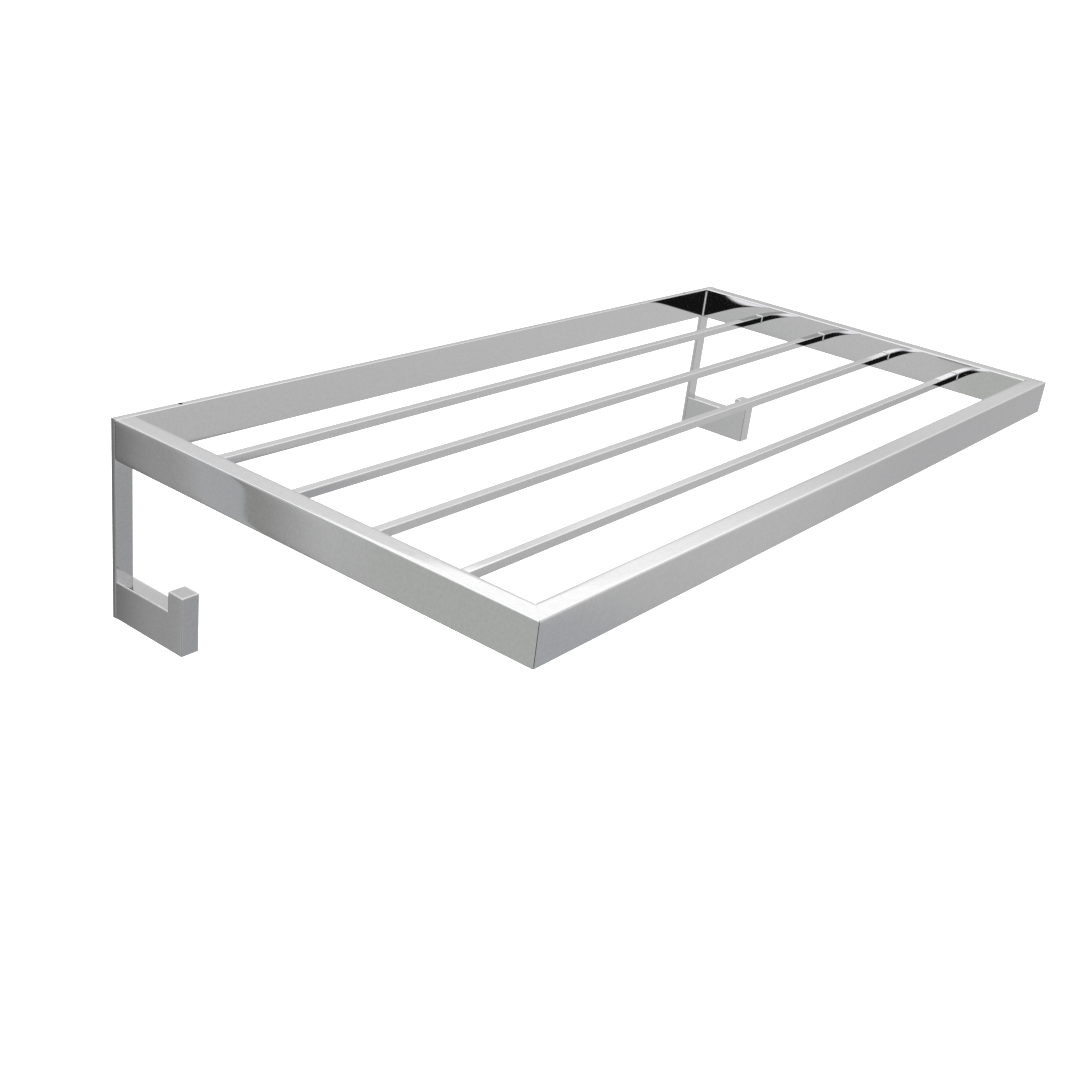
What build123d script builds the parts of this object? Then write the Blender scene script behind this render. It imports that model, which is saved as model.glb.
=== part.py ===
from build123d import *
import os

# Wall towel rack: a mitred frame of flat rectangular tube with four slim rods across it,
# on two wall straps that each end in an upturned robe hook. Millimetres, +Z up, +X to the right
# and -Y out into the room. The origin is on the wall, midway between the wall screws,
# at half the height of the rails.

os.makedirs("parts", exist_ok=True)

# Overall frame
rack_width = 610.0
rack_depth = 300.0
overall_height = 122.0

# Rectangular tube of the front and side rails
rail_height = 24.0
rail_width = 12.5
rail_wall = 1.2
rail_edge_radius = 0.8
rail_bore_radius = 0.3
mitre_gap = 0.3

# Shallow channel along the wall, open towards it. Its web stops just short of each end
channel_depth = 4.5
channel_web = 1.5
channel_flange = 2.0
channel_edge_radius = 0.5
web_relief = 1.0
web_relief_below_top = 1.2

# Rods of flat bar
rod_count = 4
rod_pitch = 58.5
rod_depth = 6.0
rod_height = 5.2
rod_edge_radius = 0.5
rod_clearance = 0.05

# Wall straps and their hooks
strap_width = 12.0
strap_thickness = 3.0
strap_edge_radius = 0.5
hook_reach = 62.0
hook_arm_height = 24.0
hook_tip_depth = 12.5
hook_tip_rise = 12.5
hook_edge_radius = 0.8

# Blocks hidden in the tubes
insert_clearance = 0.05
corner_key_leg = 30.0
root_block_length = 28.0

# M4 countersunk screws behind the straps
screw_radius = 2.0
screw_clearance_radius = 2.15
screw_head_radius = 3.9
screw_head_chamfer = 1.9
screw_length = 16.0
screw_socket_width = 2.5
screw_socket_depth = 1.4
root_screw_spacing = 11.0
hook_screw_spacing = 13.0

# Wall plates that the channel drops over, and the grub screws that lock it on
plate_length = 60.0
plate_thickness = 3.0
plate_clearance = 0.4
plate_centre_inset = 45.0
wall_hole_radius = 2.25
wall_hole_head_radius = 4.2
wall_hole_spacing = 40.0
grub_radius = 1.25
grub_length = 3.1
grub_from_wall = 1.6
grub_below_top = 0.6
grub_socket_width = 1.3
grub_socket_depth = 1.2
grub_chamfer = 0.3

# Worked out from the above
half_width = rack_width / 2
half_height = rail_height / 2
bore_width = rail_width - 2 * rail_wall
bore_height = rail_height - 2 * rail_wall
rail_centre = half_width - rail_width / 2
strap_centre = half_width - strap_width / 2
channel_inside = half_height - channel_flange
base_z = half_height - overall_height
arm_top_z = base_z + hook_arm_height
arm_centre_z = base_z + hook_arm_height / 2
rod_places = [-rod_pitch * (i + 1) for i in range(rod_count)]
plate_centre = half_width - plate_centre_inset
sides = (("left", -1), ("right", 1))


def finish(part, name):
    """Label one finished piece and write it as its own STEP file."""
    part.label = name
    export_step(part, f"parts/{name}.step")


def mitre(sign, offset):
    """Plane of one front corner's mitre. Its normal points along the front rail."""
    corner = Plane(origin=(sign * half_width, -rack_depth, 0), z_dir=(-sign, -1, 0))
    return corner.offset(offset)


def facing(x, y, z, towards):
    """Plane for a hole or a screw, whose head lies on the side that towards points to."""
    return Plane(origin=(x, y, z), x_dir=(1, 0, 0), z_dir=(0, towards, 0))


# Front rail: tube with a mitre at each end
with BuildPart() as front_rail:
    with BuildSketch(Plane.YZ.offset(-half_width)):
        with Locations((-rack_depth + rail_width / 2, 0)):
            RectangleRounded(rail_width, rail_height, rail_edge_radius)
            RectangleRounded(bore_width, bore_height, rail_bore_radius, mode=Mode.SUBTRACT)
    extrude(amount=rack_width)
    for _, sign in sides:
        split(bisect_by=mitre(sign, mitre_gap / 2), keep=Keep.TOP)
finish(front_rail.part, "front_rail")

# Side rails: tube, mitred in front, square at the wall, with a pocket for each rod
for side, sign in sides:
    with BuildPart() as side_rail:
        with BuildSketch(Plane.XZ.offset(channel_depth)):
            with Locations((sign * rail_centre, 0)):
                RectangleRounded(rail_width, rail_height, rail_edge_radius)
                RectangleRounded(bore_width, bore_height, rail_bore_radius, mode=Mode.SUBTRACT)
        extrude(amount=rack_depth - channel_depth)
        split(bisect_by=mitre(sign, -mitre_gap / 2), keep=Keep.BOTTOM)
        inner_wall = sign * (half_width - rail_width + rail_wall / 2)
        with BuildSketch(Plane.YZ.offset(inner_wall)):
            with Locations([(y, 0) for y in rod_places]):
                pocket_depth = rod_depth + 2 * rod_clearance
                pocket_height = rod_height + 2 * rod_clearance
                RectangleRounded(pocket_depth, pocket_height, rod_edge_radius)
        extrude(amount=rail_wall, both=True, mode=Mode.SUBTRACT)
    finish(side_rail.part, f"side_rail_{side}")

# Corner keys: one L-shaped block inside each mitre
for side, sign in sides:
    with BuildPart() as corner_key:
        outer_x = sign * (half_width - rail_wall - insert_clearance)
        inner_x = sign * (half_width - rail_width + rail_wall + insert_clearance)
        end_x = outer_x - sign * corner_key_leg
        outer_y = -rack_depth + rail_wall + insert_clearance
        inner_y = -rack_depth + rail_width - rail_wall - insert_clearance
        end_y = outer_y + corner_key_leg
        with BuildSketch():
            with BuildLine():
                Polyline(
                    (outer_x, outer_y),
                    (end_x, outer_y),
                    (end_x, inner_y),
                    (inner_x, inner_y),
                    (inner_x, end_y),
                    (outer_x, end_y),
                    close=True,
                )
            make_face()
        extrude(amount=bore_height / 2 - insert_clearance, both=True)
        long_edges = corner_key.edges().filter_by(Axis.Z, reverse=True)
        fillet(long_edges, rail_bore_radius)
    finish(corner_key.part, f"corner_key_{side}")

# Root blocks: fill the side rails' wall ends and take the root screws
for side, sign in sides:
    with BuildPart() as root_block:
        with BuildSketch(Plane.XZ.offset(channel_depth)):
            with Locations((sign * rail_centre, 0)):
                block_width = bore_width - 2 * insert_clearance
                block_height = bore_height - 2 * insert_clearance
                RectangleRounded(block_width, block_height, rail_bore_radius)
        extrude(amount=root_block_length)
        for z in (-root_screw_spacing / 2, root_screw_spacing / 2):
            with Locations(facing(sign * strap_centre, -channel_depth, z, 1)):
                Hole(radius=screw_radius, depth=screw_length - channel_depth + 1)
    finish(root_block.part, f"root_block_{side}")

# Rear channel: web towards the room, flanges to the wall, cut back below for the straps.
# The web's relieved ends leave a shadow line beside each side rail
with BuildPart() as rear_channel:
    with BuildSketch(Plane.YZ.offset(-half_width)):
        with Locations((-channel_depth / 2, 0)):
            Rectangle(channel_depth, rail_height)
        with Locations((-(channel_depth - channel_web) / 2, 0)):
            Rectangle(channel_depth - channel_web, 2 * channel_inside, mode=Mode.SUBTRACT)
    extrude(amount=rack_width)
    front_edges = rear_channel.edges().filter_by(Axis.X).group_by(Axis.Y)[0]
    fillet(front_edges, channel_edge_radius)
    notch_depth = channel_depth - channel_web
    with Locations([(sign * strap_centre, -notch_depth / 2, -half_height) for _, sign in sides]):
        Box(strap_width, notch_depth, 2 * channel_flange, mode=Mode.SUBTRACT)
    relief_height = rail_height - web_relief_below_top
    relief_y = -channel_depth + channel_web / 2
    relief_z = -web_relief_below_top / 2
    with Locations([(sign * (half_width - web_relief / 2), relief_y, relief_z) for _, sign in sides]):
        Box(web_relief, channel_web, relief_height, mode=Mode.SUBTRACT)
    for _, sign in sides:
        for z in (-root_screw_spacing / 2, root_screw_spacing / 2):
            with Locations(facing(sign * strap_centre, -notch_depth, z, 1)):
                Hole(radius=screw_clearance_radius, depth=channel_web)
    with Locations([(sign * plate_centre, -grub_from_wall, half_height) for _, sign in sides]):
        Hole(radius=grub_radius, depth=channel_flange)
finish(rear_channel.part, "rear_channel")

# Rods: flat bars let into the side rails and stopped by their outer walls
rod_length = rack_width - 2 * rail_wall
for i, y in enumerate(rod_places):
    with BuildPart() as rod:
        with BuildSketch(Plane.YZ.offset(-rod_length / 2)):
            with Locations((y, 0)):
                RectangleRounded(rod_depth, rod_height, rod_edge_radius)
        extrude(amount=rod_length)
    finish(rod.part, f"rod_{i + 1}")

# Wall straps: flat bars flush with the wall, from inside the channel down to the hooks
for side, sign in sides:
    with BuildPart() as strap:
        with BuildSketch(Plane.XZ):
            with Locations((sign * strap_centre, (channel_inside + base_z) / 2)):
                Rectangle(strap_width, channel_inside - base_z)
        extrude(amount=strap_thickness)
        long_edges = strap.edges().filter_by(Axis.Z).group_by(Axis.Y)[0]
        fillet(long_edges, strap_edge_radius)
        heights = [-root_screw_spacing / 2, root_screw_spacing / 2]
        heights += [arm_centre_z - hook_screw_spacing / 2, arm_centre_z + hook_screw_spacing / 2]
        for z in heights:
            with Locations(facing(sign * strap_centre, 0, z, 1)):
                CounterSinkHole(screw_clearance_radius, screw_head_radius + 0.1)
    finish(strap.part, f"strap_{side}")

# Hooks: solid bar that stands out from the strap, with a square upturned tip
for side, sign in sides:
    with BuildPart() as hook:
        with BuildSketch(Plane.YZ.offset(sign * strap_centre)):
            with BuildLine():
                Polyline(
                    (-strap_thickness, base_z),
                    (-hook_reach, base_z),
                    (-hook_reach, arm_top_z + hook_tip_rise),
                    (-hook_reach + hook_tip_depth, arm_top_z + hook_tip_rise),
                    (-hook_reach + hook_tip_depth, arm_top_z),
                    (-strap_thickness, arm_top_z),
                    close=True,
                )
            make_face()
        extrude(amount=strap_width / 2, both=True)
        throat = hook.edges().filter_by(Axis.X).filter_by_position(Axis.Z, arm_top_z, arm_top_z)
        at_strap = hook.faces().sort_by(Axis.Y)[-1].edges()
        fillet(hook.edges() - throat - at_strap, hook_edge_radius)
        for z in (-hook_screw_spacing / 2, hook_screw_spacing / 2):
            with Locations(facing(sign * strap_centre, -strap_thickness, arm_centre_z + z, 1)):
                Hole(radius=screw_radius, depth=screw_length - strap_thickness + 1)
    finish(hook.part, f"hook_{side}")


def countersunk_screw():
    """M4 countersunk screw, its head's face on the local XY plane and its shank along -Z."""
    with BuildPart(mode=Mode.PRIVATE) as screw:
        with BuildSketch():
            Circle(screw_head_radius)
        extrude(amount=-screw_head_chamfer, taper=45)
        with BuildSketch():
            Circle(screw_radius)
        extrude(amount=-screw_length)
        chamfer(screw.faces().sort_by(Axis.Z)[0].edges(), screw_radius / 4)
        with BuildSketch():
            RegularPolygon(screw_socket_width / 2, 6, major_radius=False)
        extrude(amount=-screw_socket_depth, mode=Mode.SUBTRACT)
    return screw.part


# Screws behind the straps: a pair into each root block and a pair into each hook
m4_screw = countersunk_screw()
for name, centre_z, spacing in (
    ("root_screws", 0.0, root_screw_spacing),
    ("hook_screws", arm_centre_z, hook_screw_spacing),
):
    with BuildPart() as screws:
        for _, sign in sides:
            for z in (centre_z - spacing / 2, centre_z + spacing / 2):
                with Locations(facing(sign * strap_centre, 0, z, 1)):
                    add(m4_screw)
    finish(screws.part, name)

# Wall plates: screwed to the wall, inside the channel, which rests on their top edges
for side, sign in sides:
    with BuildPart() as wall_plate:
        with BuildSketch(Plane.XZ):
            with Locations((sign * plate_centre, -plate_clearance / 2)):
                Rectangle(plate_length, 2 * channel_inside - plate_clearance)
        extrude(amount=plate_thickness)
        for x in (-wall_hole_spacing / 2, wall_hole_spacing / 2):
            with Locations(facing(sign * plate_centre + x, -plate_thickness, 0, -1)):
                CounterSinkHole(wall_hole_radius, wall_hole_head_radius)
        with Locations((sign * plate_centre, -grub_from_wall, channel_inside)):
            Hole(radius=grub_radius, depth=grub_length + grub_below_top - channel_flange)
    finish(wall_plate.part, f"wall_plate_{side}")

# Grub screws: through the channel's top flange into the wall plates
with BuildPart() as grub_screws:
    for _, sign in sides:
        top = Plane.XY.offset(half_height - grub_below_top)
        with BuildSketch(top):
            with Locations((sign * plate_centre, -grub_from_wall)):
                Circle(grub_radius)
        extrude(amount=-grub_length)
    chamfer(grub_screws.edges().filter_by(GeomType.CIRCLE), grub_chamfer)
    with BuildSketch(top):
        with Locations([(sign * plate_centre, -grub_from_wall) for _, sign in sides]):
            RegularPolygon(grub_socket_width / 2, 6, major_radius=False)
    extrude(amount=-grub_socket_depth, mode=Mode.SUBTRACT)
finish(grub_screws.part, "grub_screws")
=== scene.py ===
import math

import bmesh
import bpy
import numpy as np
from mathutils import Matrix, Vector


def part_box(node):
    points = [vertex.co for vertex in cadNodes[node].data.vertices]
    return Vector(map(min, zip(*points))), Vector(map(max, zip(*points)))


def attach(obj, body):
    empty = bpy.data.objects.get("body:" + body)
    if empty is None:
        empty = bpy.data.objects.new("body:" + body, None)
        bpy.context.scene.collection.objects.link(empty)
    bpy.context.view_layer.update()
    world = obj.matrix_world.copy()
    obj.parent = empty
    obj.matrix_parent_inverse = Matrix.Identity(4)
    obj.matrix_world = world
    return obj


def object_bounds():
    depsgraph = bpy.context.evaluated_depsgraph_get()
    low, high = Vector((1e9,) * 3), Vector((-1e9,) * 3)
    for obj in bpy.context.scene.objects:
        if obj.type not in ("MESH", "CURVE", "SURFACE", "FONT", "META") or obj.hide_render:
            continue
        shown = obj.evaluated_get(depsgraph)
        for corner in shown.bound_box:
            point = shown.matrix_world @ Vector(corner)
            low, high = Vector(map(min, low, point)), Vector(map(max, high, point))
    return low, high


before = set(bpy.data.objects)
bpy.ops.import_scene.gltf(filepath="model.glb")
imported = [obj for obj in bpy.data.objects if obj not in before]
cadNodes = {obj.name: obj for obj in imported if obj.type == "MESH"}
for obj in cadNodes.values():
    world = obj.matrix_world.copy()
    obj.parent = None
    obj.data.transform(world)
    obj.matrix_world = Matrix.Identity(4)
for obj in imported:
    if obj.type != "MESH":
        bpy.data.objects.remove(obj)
cadLow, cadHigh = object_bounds()
print("frame loaded:", len(cadNodes), "nodes")

mm = 0.001


# Small helpers

def linearColour(hexText):
    # sRGB hex to linear RGBA: the inverse of the sRGB curve, on each channel
    srgb = np.array([int(hexText[i:i + 2], 16) for i in (1, 3, 5)]) / 255
    linear = np.where(srgb <= 0.04045, srgb / 12.92, ((srgb + 0.055) / 1.055) ** 2.4)
    return (*(float(c) for c in linear), 1.0)


def addNode(tree, kind, values=None, links=None, **settings):
    # adds one shader node, sets its properties and its inputs, and links what feeds it
    made = tree.nodes.new("ShaderNode" + kind)
    for name, value in settings.items():
        setattr(made, name, value)
    for name, value in (values or {}).items():
        made.inputs[name].default_value = value
    for name, socket in (links or {}).items():
        tree.links.new(socket, made.inputs[name])
    return made


def direction(azimuth, elevation):
    # unit vector: azimuth in degrees from +Y towards +X, elevation up from the horizon
    a = math.radians(azimuth)
    e = math.radians(elevation)
    return Vector((math.sin(a) * math.cos(e), math.cos(a) * math.cos(e), math.sin(e)))


def gridMesh(name, points, closeAlong=False, closeAround=False, capEnds=False):
    # one mesh over points[piece, along, around]: each cell of each piece's grid is a face
    number = np.arange(points[..., 0].size).reshape(points.shape[:-1])
    if closeAlong:
        number = np.concatenate((number, number[:, :1]), axis=1)
    if closeAround:
        number = np.concatenate((number, number[:, :, :1]), axis=2)
    cells = np.stack((number[:, :-1, :-1], number[:, :-1, 1:],
                      number[:, 1:, 1:], number[:, 1:, :-1]), axis=-1)
    faces = cells.reshape(-1, 4).tolist()
    if capEnds:
        faces += number[:, 0, :-1].tolist() + number[:, -1, :-1].tolist()
    mesh = bpy.data.meshes.new(name)
    mesh.from_pydata(points.reshape(-1, 3).tolist(), [], faces)
    shell = bmesh.new()
    shell.from_mesh(mesh)
    bmesh.ops.recalc_face_normals(shell, faces=shell.faces)
    shell.to_mesh(mesh)
    shell.free()
    made = bpy.data.objects.new(name, mesh)
    bpy.context.scene.collection.objects.link(made)
    return made


# Camera: above and to the left of the near corner, turned a little about its own axis

cameraSettings = {
    "heading": 54.085,      # degrees from +Y towards +X that it looks along
    "dip": 23.869,          # degrees down from the horizon
    "roll": 7.206,          # degrees anticlockwise, seen from behind the camera
    "distance": 0.9245,     # metres to the point it looks at
    "aimOffset": (-0.0509, 0.0392, -0.0413),    # that point, from the middle of the rack
    "lens": 46.44,          # mm
    "sensor": 36.0,         # mm
    "clip": (0.01, 100.0),  # metres
}


def makeCamera(settings):
    forward = direction(settings["heading"], -settings["dip"])
    level = forward.cross(Vector((0, 0, 1))).normalized()
    upright = level.cross(forward)
    roll = math.radians(settings["roll"])
    right = level * math.cos(roll) + upright * math.sin(roll)
    up = right.cross(forward)
    aim = (Vector(cadLow) + Vector(cadHigh)) / 2 + Vector(settings["aimOffset"])
    data = bpy.data.cameras.new("studioCamera")
    data.lens = settings["lens"]
    data.sensor_width = settings["sensor"]
    data.clip_start, data.clip_end = settings["clip"]
    camera = bpy.data.objects.new("studioCamera", data)
    turn = Matrix((right, up, -forward)).transposed().to_4x4()
    camera.matrix_world = Matrix.Translation(aim - forward * settings["distance"]) @ turn
    bpy.context.scene.collection.objects.link(camera)
    bpy.context.scene.camera = camera


makeCamera(cameraSettings)
print("camera placed")


# Studio: what the chrome mirrors. A grey room, brighter upwards, with soft panels in it

studioSettings = {
    "strength": 1.12,
    # degrees above the horizon, brightness of the room there
    "room": ((-90, 0.50), (-32, 0.54), (-24, 0.66), (-15, 0.73), (-6, 0.74), (8, 0.68),
             (13, 0.67), (15.5, 0.72), (18, 0.78), (20.5, 0.87), (25, 1.05), (38, 1.45),
             (58, 1.7), (62, 1.5), (66, 1.02), (90, 0.98)),
    # name: heading from, to, softness of each; elevation from, to, softness of each; colour.
    # Later ones lie over earlier ones
    "panels": {
        "keyGlow": (55.5, 95, 2.5, 4, 22.5, 50, 4.5, 6, (1.40, 1.40, 1.40)),
        "keySoftbox": (43, 86, 1.5, 4, 25.3, 78, 0.3, 8, (1.48, 1.48, 1.48)),
        "farGlow": (68, 80, 1.5, 4, 14.2, 20, 0.9, 3, (0.83, 0.83, 0.83)),
        "armShade": (28, 41.5, 3, 1.5, 25, 33, 2, 5, (0.78, 0.78, 0.78)),
        "ceilingShade": (-46, 30, 5, 5, 12, 37.5, 6, 1.6, (0.86, 0.86, 0.86)),
        "hookShade": (-46, -32, 4, 1.5, 20, 34, 4, 1.5, (0.55, 0.55, 0.55)),
        "eastShade": (92, 142, 6, 6, -4, 46, 5, 5, (0.92, 0.92, 0.92)),
        "frontFall": (92, 113.5, 4, 4, -40, -4, 5, 4, (0.565, 0.565, 0.57)),
        "coolFloor": (121, 133, 2, 4, -60, -26.5, 10, 1.5, (0.53, 0.545, 0.56)),
        "lowShade": (135, 152, 3, 4, -60, -21.6, 8, 0.6, (0.47, 0.475, 0.485)),
        "greenWall": (-62, -46, 4, 2, -60, -14, 8, 6, (0.596, 0.610, 0.588)),
        "farWall": (-82, -70, 4, 0.8, -40, -4, 6, 5, (0.64, 0.655, 0.62)),
        "dimEdge": (-39, 16, 1.8, 6, -60, 8, 8, 8, (0.42, 0.42, 0.42)),
        "dimWall": (-36, 14, 1.2, 5.5, -60, 8, 8, 8, (0.20, 0.20, 0.20)),
        "paleStrip": (-40.9, -39.2, 0.1, 0.6, -60, 4, 4, 4, (0.54, 0.555, 0.565)),
        "wallCorner": (-43.0, -40.9, 1.9, 0.1, -60, 4, 4, 4, (0.37, 0.375, 0.36)),
        "whiteBoard": (-76, -66, 3, 1.8, 11.5, 26, 2, 3, (2.1, 2.1, 2.1)),
        "lowBack": (-170, -78, 6, 6, -60, -22, 8, 3, (0.42, 0.42, 0.42)),
        "sideGlow": (-132, -104, 5, 5, -11.5, -6, 0.6, 2, (2.1, 2.1, 2.15)),
        "darkSide": (-136, -96, 4, 4, -25, -11.9, 3, 0.25, (0.015, 0.015, 0.015)),
        "reflector": (197, 216, 4, 4, -18, 2, 2, 4, (1.35, 1.35, 1.35)),
    },
}


def makeStudio(settings):
    world = bpy.data.worlds.new("softStudio")
    world.use_nodes = True
    bpy.context.scene.world = world
    tree = world.node_tree
    tree.nodes.clear()
    where = addNode(tree, "TexCoord")
    axes = addNode(tree, "SeparateXYZ", links={0: where.outputs["Generated"]})
    up = addNode(tree, "Math", links={0: axes.outputs["Z"]}, operation="ARCSINE")
    elevation = addNode(tree, "Math", {1: math.degrees(1)}, {0: up.outputs[0]},
                        operation="MULTIPLY").outputs[0]
    around = addNode(tree, "Math", links={0: axes.outputs["X"], 1: axes.outputs["Y"]},
                     operation="ARCTAN2")
    heading = addNode(tree, "Math", {1: math.degrees(1)}, {0: around.outputs[0]},
                      operation="MULTIPLY").outputs[0]
    share = addNode(tree, "MapRange", {"From Min": -90, "From Max": 90}, {0: elevation})
    ramp = addNode(tree, "ValToRGB", links={0: share.outputs[0]})
    stops = ramp.color_ramp.elements
    for i, (degrees, light) in enumerate(settings["room"]):
        place = (degrees + 90) / 180
        stop = stops[i] if i < 2 else stops.new(place)
        stop.position = place
        stop.color = (light, light, light, 1)
    colour = ramp.outputs[0]
    for panel in settings["panels"].values():
        west, east, softWest, softEast, low, high, softLow, softHigh, light = panel
        middle = (west + east) / 2
        offset = addNode(tree, "Math", {1: middle}, {0: heading}, operation="SUBTRACT")
        aside = addNode(tree, "Math", {1: 180, 2: -180}, {0: offset.outputs[0]}, operation="WRAP")
        # each edge is a smooth step of its own softness, and the four multiply
        edges = ((aside.outputs[0], west - middle - softWest, west - middle + softWest),
                 (aside.outputs[0], east - middle + softEast, east - middle - softEast),
                 (elevation, low - softLow, low + softLow),
                 (elevation, high + softHigh, high - softHigh))
        mask = None
        for value, dark, lit in edges:
            step = addNode(tree, "MapRange", {"From Min": dark, "From Max": lit}, {0: value},
                           interpolation_type="SMOOTHSTEP").outputs[0]
            mask = step if mask is None else addNode(tree, "Math", links={0: mask, 1: step},
                                                     operation="MULTIPLY").outputs[0]
        # inputs 6 and 7 of a colour Mix are its A and B
        colour = addNode(tree, "Mix", {7: (*light, 1)}, {0: mask, 6: colour},
                         data_type="RGBA").outputs[2]
    glow = addNode(tree, "Background", {"Strength": settings["strength"]}, {"Color": colour})
    addNode(tree, "OutputWorld", links={"Surface": glow.outputs[0]})


makeStudio(studioSettings)

# Floor and backdrop: one white sweep all round, far enough away to hold no shadow edge

sweepSettings = {
    "drop": 1.35,           # metres from the rack down to the floor
    "flatRadius": 5.0,
    "coveRadius": 3.0,
    "height": 9.0,
    "lidRise": 1.5,         # how far the domed lid's middle stands above the wall
    "coveSteps": 24,
    "turnSteps": 96,
    "colour": "#fbfbfa",
    "glow": 0.55,
    "roughness": 0.9,
}


def makeSweep(settings):
    # surface of revolution: flat floor, quarter-circle cove, upright wall, domed lid
    cove = settings["coveRadius"]
    flat = settings["flatRadius"]
    angle = np.linspace(0, np.pi / 2, settings["coveSteps"])
    pole = 0.001            # a pinhole at each pole, which a cap closes
    floor = (pole, 1, 2, 3.5)
    radius = np.concatenate((floor, flat + cove * np.sin(angle),
                             (flat + cove) * np.cos(angle[1:-1]), [pole]))
    height = np.concatenate((np.zeros(len(floor)), cove * (1 - np.cos(angle)),
                             settings["height"] + settings["lidRise"] * np.sin(angle[1:])))
    turn = np.linspace(0, 2 * np.pi, settings["turnSteps"], endpoint=False)
    floorZ = cadLow[2] - settings["drop"]
    points = np.stack((radius[:, None] * np.cos(turn), radius[:, None] * np.sin(turn),
                       np.broadcast_to(floorZ + height[:, None], (len(radius), len(turn)))), -1)
    sweep = gridMesh("studioSweep", points[None], closeAround=True, capEnds=True)
    sweep.data.shade_smooth()
    material = bpy.data.materials.new("mattWhitePaper")
    material.use_nodes = True
    shader = material.node_tree.nodes["Principled BSDF"]
    shader.inputs["Base Color"].default_value = linearColour(settings["colour"])
    shader.inputs["Roughness"].default_value = settings["roughness"]
    shader.inputs["Specular IOR Level"].default_value = 0.0
    shader.inputs["Emission Color"].default_value = linearColour(settings["colour"])
    shader.inputs["Emission Strength"].default_value = settings["glow"]
    sweep.data.materials.append(material)
    # it is only a background: light and reflections come from the studio room
    sweep.visible_diffuse = False
    sweep.visible_glossy = False
    sweep.visible_transmission = False
    sweep.visible_volume_scatter = False
    sweep.visible_shadow = False


makeSweep(sweepSettings)
print("studio made")


# Materials

def newMaterial(name):
    material = bpy.data.materials.new(name)
    material.use_nodes = True
    return material, material.node_tree, material.node_tree.nodes["Principled BSDF"]


def cover(nodeName, material):
    mesh = cadNodes[nodeName].data
    if not mesh.materials:
        mesh.materials.append(material)
    for i in range(len(mesh.materials)):
        mesh.materials[i] = material


def twoTone(tree, pattern, low, high, dark, light):
    # a pattern's values from low to high become colours from dark to light
    ramp = addNode(tree, "ValToRGB", links={0: pattern})
    for stop, place, colour in zip(ramp.color_ramp.elements, (low, high), (dark, light)):
        stop.position = place
        stop.color = linearColour(colour)
    return ramp.outputs[0]


chromeSettings = {
    "light": "#c9c9ca",
    "shade": "#c2c2c3",
    "speck": "#8c8c88",
    "roughness": 0.022,
    "haze": 0.03,
    "cloud": 1.6,           # mm across a cloud
    "cloudRange": (0.35, 0.65),     # the cloud noise's values from shade to light
    "hazeRange": (0.4, 0.75),       # and from clear to hazy
    "wave": 25.0,           # mm between the long waves
    "waveRise": 0.01,       # mm
    "speckApart": 10.0,     # mm between specks of dust
    "speckAcross": 0.6,     # mm: drawn about three times life size, or none would show
}

rodNames = [f"rod_{i}" for i in range(1, 5)]
barNames = [f"{bar}_{side}" for bar in ("strap", "hook") for side in ("left", "right")]

# How far the buffed edges of each face fall below its middle, in mm, and how sharply (the
# power of the distance from the middle), for the faces that spread along each axis
crowns = {
    "front_rail": {"Y": (0.16, 8), "Z": (0.06, 8)},
    "side_rail_left": {"X": (0.16, 8), "Z": (0.06, 8)},
    "side_rail_right": {"X": (0.16, 8), "Z": (0.20, 3)},
    "rear_channel": {"Y": (0.05, 4), "Z": (0.04, 9)},
    **{name: {"Y": (0.03, 5), "Z": (0.02, 5)} for name in rodNames},
    **{name: {"X": (0.08, 6)} for name in barNames},
}
# The wheel can't reach into the wall corners: the crown dies away between these distances
# from the wall, in mm
crownStart = {"side_rail_right": (12, 46)}


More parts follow.
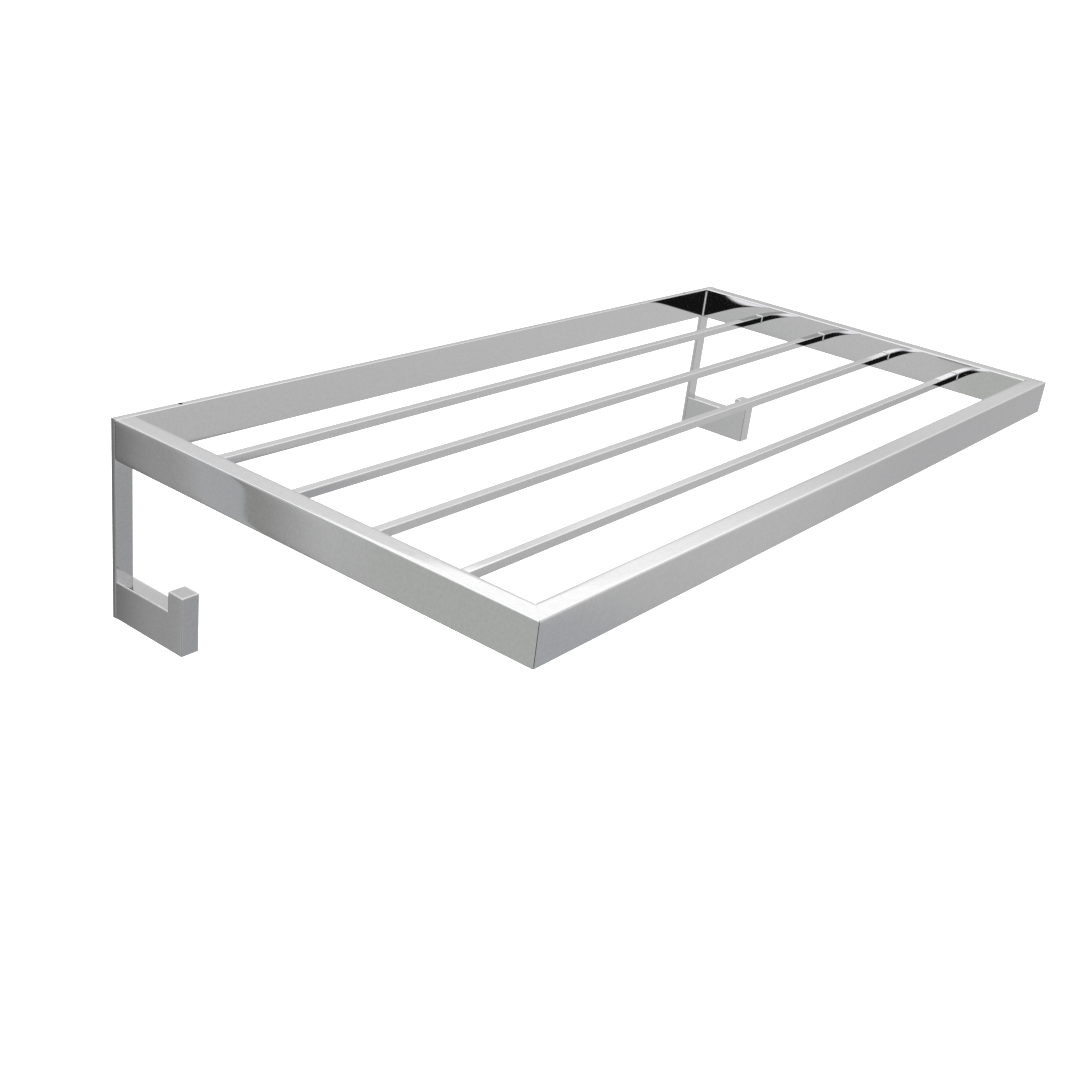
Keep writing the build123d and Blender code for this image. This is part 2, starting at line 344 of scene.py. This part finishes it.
def polishedChrome(name, settings, low=None, high=None, crown=None, start=None):
    # Chromium plate on buffed brass: a bright cool grey mirror. Buffing rounds each face a
    # little towards its edges, and leaves long faint waves, fine clouds and a trace of haze
    material, tree, shader = newMaterial(name)
    where = addNode(tree, "TexCoord").outputs["Object"]
    bent = addNode(tree, "NewGeometry").outputs["Normal"]
    if crown:
        # the normal leans out by the slope of rise * |t|^power, t from -1 to 1 over the face
        axes = addNode(tree, "SeparateXYZ", links={0: where})
        lean = addNode(tree, "CombineXYZ")
        for axis, (rise, power) in crown.items():
            i = "XYZ".index(axis)
            t = addNode(tree, "MapRange", {"From Min": low[i], "From Max": high[i],
                                           "To Min": -1, "To Max": 1},
                        {0: axes.outputs[axis]}).outputs[0]
            size = addNode(tree, "Math", links={0: t}, operation="ABSOLUTE")
            curve = addNode(tree, "Math", {1: power - 1}, {0: size.outputs[0]}, operation="POWER")
            edgeSlope = power * rise * mm / ((high[i] - low[i]) / 2)
            slope = addNode(tree, "Math", {1: edgeSlope}, {0: curve.outputs[0]},
                            operation="MULTIPLY")
            side = addNode(tree, "Math", links={0: t}, operation="SIGN")
            signed = addNode(tree, "Math", links={0: slope.outputs[0], 1: side.outputs[0]},
                             operation="MULTIPLY")
            tree.links.new(signed.outputs[0], lean.inputs[axis])
        lean = lean.outputs[0]
        if start:
            reach = addNode(tree, "MapRange", {"From Min": -start[0] * mm, "From Max": -start[1] * mm},
                            {0: axes.outputs["Y"]}, interpolation_type="SMOOTHSTEP")
            lean = addNode(tree, "VectorMath", links={0: lean, "Scale": reach.outputs[0]},
                           operation="SCALE").outputs[0]
        leant = addNode(tree, "VectorMath", links={0: bent, 1: lean}, operation="ADD")
        bent = addNode(tree, "VectorMath", links={0: leant.outputs[0]},
                       operation="NORMALIZE").outputs[0]
    cloud = addNode(tree, "TexNoise", {"Scale": 1 / (settings["cloud"] * mm), "Detail": 3.0,
                                       "Roughness": 0.65}, {"Vector": where}).outputs["Fac"]
    colour = twoTone(tree, cloud, *settings["cloudRange"], settings["shade"], settings["light"])
    nearest = addNode(tree, "TexVoronoi", {"Scale": 1 / (settings["speckApart"] * mm)},
                      {"Vector": where}).outputs["Distance"]
    # a speck fades in from its edge to half way, and is half see-through
    edge = settings["speckAcross"] / 2 / settings["speckApart"]
    speck = addNode(tree, "MapRange", {"From Min": edge, "From Max": edge * 0.5, "To Max": 0.5},
                    {0: nearest}).outputs[0]
    colour = addNode(tree, "Mix", {7: linearColour(settings["speck"])}, {0: speck, 6: colour},
                     data_type="RGBA").outputs[2]
    tree.links.new(colour, shader.inputs["Base Color"])
    clear, hazy = settings["hazeRange"]
    haze = addNode(tree, "MapRange", {"From Min": clear, "From Max": hazy,
                                      "To Min": settings["roughness"],
                                      "To Max": settings["roughness"] + settings["haze"]},
                   {0: cloud})
    tree.links.new(haze.outputs[0], shader.inputs["Roughness"])
    shader.inputs["Metallic"].default_value = 1.0
    wave = addNode(tree, "TexNoise", {"Scale": 1 / (settings["wave"] * mm), "Detail": 1.0},
                   {"Vector": where}).outputs["Fac"]
    waves = addNode(tree, "Bump", {"Strength": 1.0, "Distance": settings["waveRise"] * mm},
                    {"Height": wave, "Normal": bent})
    tree.links.new(waves.outputs[0], shader.inputs["Normal"])
    return material


for nodeName, crown in crowns.items():
    low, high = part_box(nodeName)
    title = "".join(word.capitalize() for word in nodeName.split("_"))
    cover(nodeName, polishedChrome("polishedChrome" + title, chromeSettings, low, high, crown,
                                   crownStart.get(nodeName)))
seamChrome = polishedChrome("polishedChromeSeams", chromeSettings)

brassSettings = {
    "dark": "#94732f",
    "light": "#c2a257",
    "roughness": 0.34,
    "dulling": 0.14,        # how much rougher the dull patches are
    "patch": 7.0,           # mm across a dull patch
    "millMarks": 0.9,       # mm between the cutter's marks
    "millDepth": 0.012,     # mm
}


def milledBrass(settings):
    # Free-cutting brass as milled, unplated: warm yellow, dulled in patches, with cutter marks
    material, tree, shader = newMaterial("milledBrass")
    where = addNode(tree, "TexCoord").outputs["Object"]
    patch = addNode(tree, "TexNoise", {"Scale": 1 / (settings["patch"] * mm), "Detail": 4.0},
                    {"Vector": where}).outputs["Fac"]
    colour = twoTone(tree, patch, 0.3, 0.7, settings["dark"], settings["light"])
    tree.links.new(colour, shader.inputs["Base Color"])
    dull = addNode(tree, "MapRange", {"From Min": 0.3, "From Max": 0.7,
                                      "To Min": settings["roughness"] + settings["dulling"],
                                      "To Max": settings["roughness"]}, {0: patch})
    tree.links.new(dull.outputs[0], shader.inputs["Roughness"])
    shader.inputs["Metallic"].default_value = 1.0
    # a wave texture's bands lie pi / 10 / scale apart
    marks = addNode(tree, "TexWave", {"Scale": math.pi / 10 / (settings["millMarks"] * mm),
                                      "Distortion": 0.6, "Detail": 1.0},
                    {"Vector": where}, bands_direction="DIAGONAL")
    ridges = addNode(tree, "Bump", {"Strength": 1.0, "Distance": settings["millDepth"] * mm},
                     {"Height": marks.outputs["Fac"]})
    tree.links.new(ridges.outputs[0], shader.inputs["Normal"])
    return material


stainlessSettings = {
    "dark": "#8b8a87",
    "light": "#b1b0ac",
    "roughness": (0.24, 0.44),
    "grain": 0.5,           # mm
    "pits": 0.004,          # mm deep
}

# near-black colour for the grub screws: painted shade of their deep holes
grubShadeSettings = {
    "dark": "#1d1d1f",
    "light": "#38383b",
    "roughness": (0.38, 0.58),
    "grain": 0.5,           # mm
    "pits": 0.004,          # mm deep
}


def screwMetal(name, settings):
    # Turned stainless: a darker, warmer grey than the chrome, with a fine grain. The small
    # grub screws have the same grain under a near-black colour, painted shade for their deep holes
    material, tree, shader = newMaterial(name)
    where = addNode(tree, "TexCoord").outputs["Object"]
    grain = addNode(tree, "TexNoise", {"Scale": 1 / (settings["grain"] * mm), "Detail": 3.0},
                    {"Vector": where}).outputs["Fac"]
    colour = twoTone(tree, grain, 0.35, 0.65, settings["dark"], settings["light"])
    tree.links.new(colour, shader.inputs["Base Color"])
    smooth, rough = settings["roughness"]
    finish = addNode(tree, "MapRange", {"To Min": smooth, "To Max": rough}, {0: grain})
    tree.links.new(finish.outputs[0], shader.inputs["Roughness"])
    shader.inputs["Metallic"].default_value = 1.0
    pits = addNode(tree, "Bump", {"Strength": 1.0, "Distance": settings["pits"] * mm},
                   {"Height": grain})
    tree.links.new(pits.outputs[0], shader.inputs["Normal"])
    return material


zincSettings = {
    "blue": "#b4babf",
    "straw": "#c4c2b5",
    "roughness": (0.28, 0.48),
    "patch": 9.0,           # mm across a patch of one tint
    "grain": 0.4,           # mm
    "grainDepth": 0.006,    # mm
}


def zincPlate(settings):
    # Bright zinc on pressed steel: a satin pale grey whose passivation drifts from blue to straw
    material, tree, shader = newMaterial("zincPlatedSteel")
    where = addNode(tree, "TexCoord").outputs["Object"]
    patch = addNode(tree, "TexNoise", {"Scale": 1 / (settings["patch"] * mm), "Detail": 2.0},
                    {"Vector": where}).outputs["Fac"]
    colour = twoTone(tree, patch, 0.35, 0.65, settings["blue"], settings["straw"])
    tree.links.new(colour, shader.inputs["Base Color"])
    grain = addNode(tree, "TexNoise", {"Scale": 1 / (settings["grain"] * mm), "Detail": 3.0},
                    {"Vector": where}).outputs["Fac"]
    smooth, rough = settings["roughness"]
    finish = addNode(tree, "MapRange", {"To Min": smooth, "To Max": rough}, {0: grain})
    tree.links.new(finish.outputs[0], shader.inputs["Roughness"])
    shader.inputs["Metallic"].default_value = 1.0
    skin = addNode(tree, "Bump", {"Strength": 1.0, "Distance": settings["grainDepth"] * mm},
                   {"Height": grain})
    tree.links.new(skin.outputs[0], shader.inputs["Normal"])
    return material


hiddenMetals = {
    ("corner_key", "root_block"): milledBrass(brassSettings),
    ("root_screws", "hook_screws"): screwMetal("turnedStainless", stainlessSettings),
    # the grub screws' near-black colour is painted shade for their deep holes
    ("grub_screws",): screwMetal("blackOxideSteel", grubShadeSettings),
    ("wall_plate",): zincPlate(zincSettings),
}
for starts, material in hiddenMetals.items():
    for nodeName in cadNodes:
        if nodeName.startswith(starts):
            cover(nodeName, material)
print("materials made")


# Joints: the small plated fillets and filled seams where the bars meet

frontLow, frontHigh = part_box("front_rail")
leftLow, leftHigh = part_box("side_rail_left")
rightLow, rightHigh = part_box("side_rail_right")
rearLow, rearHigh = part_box("rear_channel")


def concaveFillet(radius, sink, steps):
    # Section of a fillet in the corner of two faces, as distances from each face: a quarter
    # circle hollowed towards the corner, closed by a corner sunk into both
    angle = np.linspace(0, np.pi / 2, steps)
    first = np.append(radius - radius * np.cos(angle), (radius, -sink, -sink))
    second = np.append(radius - radius * np.sin(angle), (-sink, -sink, radius))
    return first, second


def finishPiece(piece):
    piece.data.materials.append(seamChrome)
    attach(piece, "root")


rodFilletSettings = {
    "radius": 0.8,          # mm
    "sink": 0.12,           # mm into both faces
    "rodRounding": 0.5,     # mm: the rods' own edge radius
    "sectionSteps": 9,
    "cornerSteps": 7,
}


def makeRodFillets(settings):
    # A ring round each rod end: the fillet's section carried round the rod's outline. At a
    # distance d from the rod that outline is a rectangle with its corners rounded by r + d
    rounding = settings["rodRounding"] * mm
    steps = settings["cornerSteps"]
    out, away = concaveFillet(settings["radius"] * mm, settings["sink"] * mm,
                              settings["sectionSteps"])
    angle = np.linspace(0, np.pi / 2, steps)[None] + np.arange(4)[:, None] * np.pi / 2
    angle = angle.reshape(-1)
    signY = np.repeat((1, -1, -1, 1), steps)
    signZ = np.repeat((1, 1, -1, -1), steps)
    rings = []
    for nodeName in rodNames:
        low, high = np.array(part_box(nodeName))
        middle = (low + high) / 2
        half = (high - low) / 2 - rounding
        for face, inward in ((leftHigh[0], 1), (rightLow[0], -1)):
            y = middle[1] + (signY * half[1])[:, None] + np.cos(angle)[:, None] * (rounding + out)
            z = middle[2] + (signZ * half[2])[:, None] + np.sin(angle)[:, None] * (rounding + out)
            x = np.broadcast_to(face + inward * away, y.shape)
            rings.append(np.stack((x, y, z), -1))
    finishPiece(gridMesh("rodFillets", np.stack(rings), closeAlong=True, closeAround=True))


makeRodFillets(rodFilletSettings)

cornerBeadSettings = {
    "radius": 1.25,         # mm
    "sink": 0.12,           # mm into both faces
    "short": 0.7,           # mm: stops this far from the top and bottom edges
    "sectionSteps": 13,
}


def makeCornerBeads(settings):
    # An upright bead in each rear inner corner: the fillet's section carried straight up
    alongX, alongY = concaveFillet(settings["radius"] * mm, settings["sink"] * mm,
                                   settings["sectionSteps"])
    short = settings["short"] * mm
    z = np.linspace(rearLow[2] + short, rearHigh[2] - short, 2)[:, None]
    beads = []
    for face, inward in ((leftHigh[0], 1), (rightLow[0], -1)):
        x = np.broadcast_to(face + inward * alongX, (2, len(alongX)))
        y = np.broadcast_to(rearLow[1] - alongY, (2, len(alongY)))
        beads.append(np.stack((x, y, np.broadcast_to(z, x.shape)), -1))
    finishPiece(gridMesh("cornerBeads", np.stack(beads), closeAround=True, capEnds=True))


makeCornerBeads(cornerBeadSettings)

mitreSettings = {
    "halfWidth": 0.152,     # mm: the seam is 0.3 wide, so it touches both rails
    "thick": 1.1,           # mm
    "below": 0.05,          # mm that the fill lies below the faces
    "short": 1.0,           # mm: stops this far from the outer and inner upright edges
}


def makeMitreFill(settings):
    # Strips that fill the seams' flat runs, above and below: a section of four points carried
    # along the diagonal from the outer corner to the inner one
    wide = settings["halfWidth"] * mm
    short = settings["short"] * mm
    below = settings["below"] * mm
    thick = settings["thick"] * mm
    length = np.linspace(short, (leftHigh[0] - leftLow[0]) - short, 2)[:, None]
    across = np.array((-wide, wide, wide, -wide)) / math.sqrt(2)
    strips = []
    for cornerX, inward in ((leftLow[0], 1), (rightHigh[0], -1)):
        for face, down in ((frontHigh[2], -1), (frontLow[2], 1)):
            x = cornerX + inward * (length - across)
            y = frontLow[1] + (length + across)
            z = face + down * np.array((below, below, below + thick, below + thick))
            strips.append(np.stack((x, y, np.broadcast_to(z, x.shape)), -1))
    finishPiece(gridMesh("mitreFill", np.stack(strips), closeAround=True, capEnds=True))


makeMitreFill(mitreSettings)
print("seams made")

view = bpy.context.scene.view_settings
view.view_transform = "Standard"
view.look = "None"
view.exposure = 0.0
view.gamma = 1.0
